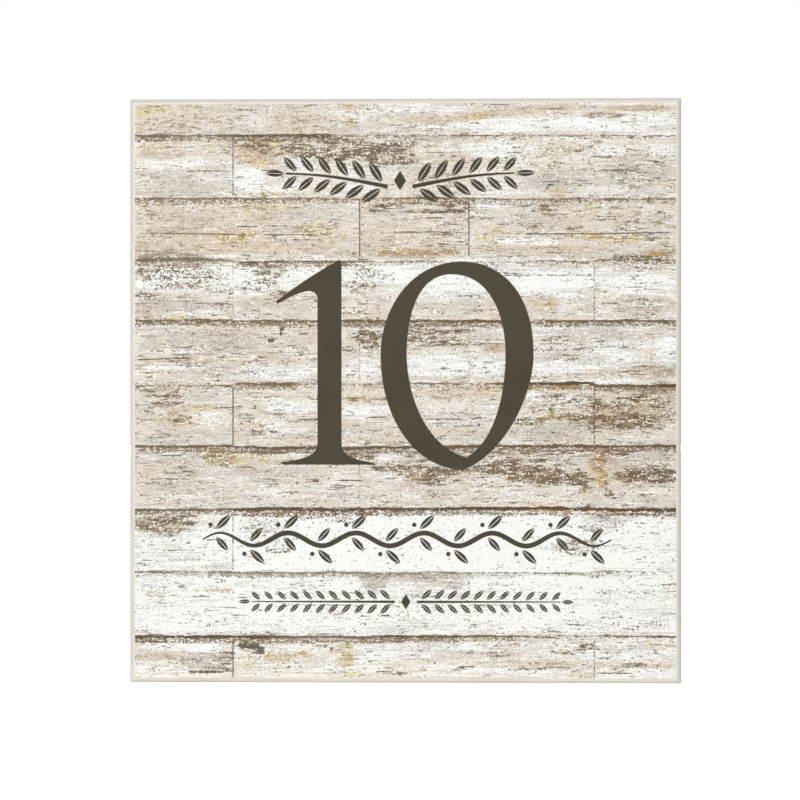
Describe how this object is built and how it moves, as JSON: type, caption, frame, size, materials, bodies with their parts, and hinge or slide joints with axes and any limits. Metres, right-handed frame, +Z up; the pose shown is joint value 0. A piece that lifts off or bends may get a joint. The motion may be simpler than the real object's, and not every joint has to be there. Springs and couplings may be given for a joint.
{
  "type": "house number plaque",
  "caption": "Rectangular glazed ceramic house number plaque with a whitewashed plank print, large serif digits, a rounded cream edge and a ribbed back for adhesive.",
  "frame": {"origin": "centre of the back face that lies on the wall", "axes": "+Z up, +Y from the printed face into the wall, +X to the right as the number is read"},
  "size_m": [0.2, 0.0081, 0.212],
  "materials": {
    "cream_glaze": "glossy cream glaze, bare on the back",
    "beige_print": "fired print under a satin glaze",
    "white_print": "fired print under a satin glaze",
    "worn_print": "fired print under a satin glaze",
    "seam_print": "fired print under a satin glaze",
    "number_ink": "fired ink, satin"
  },
  "bodies": {
    "root": {"plaque": "cream_glaze", "beige_boards": "beige_print", "white_boards": "white_print", "worn_boards": "worn_print", "board_seams": "seam_print", "digit_one": "number_ink", "digit_zero": "number_ink"}
  },
  "joints": []
}
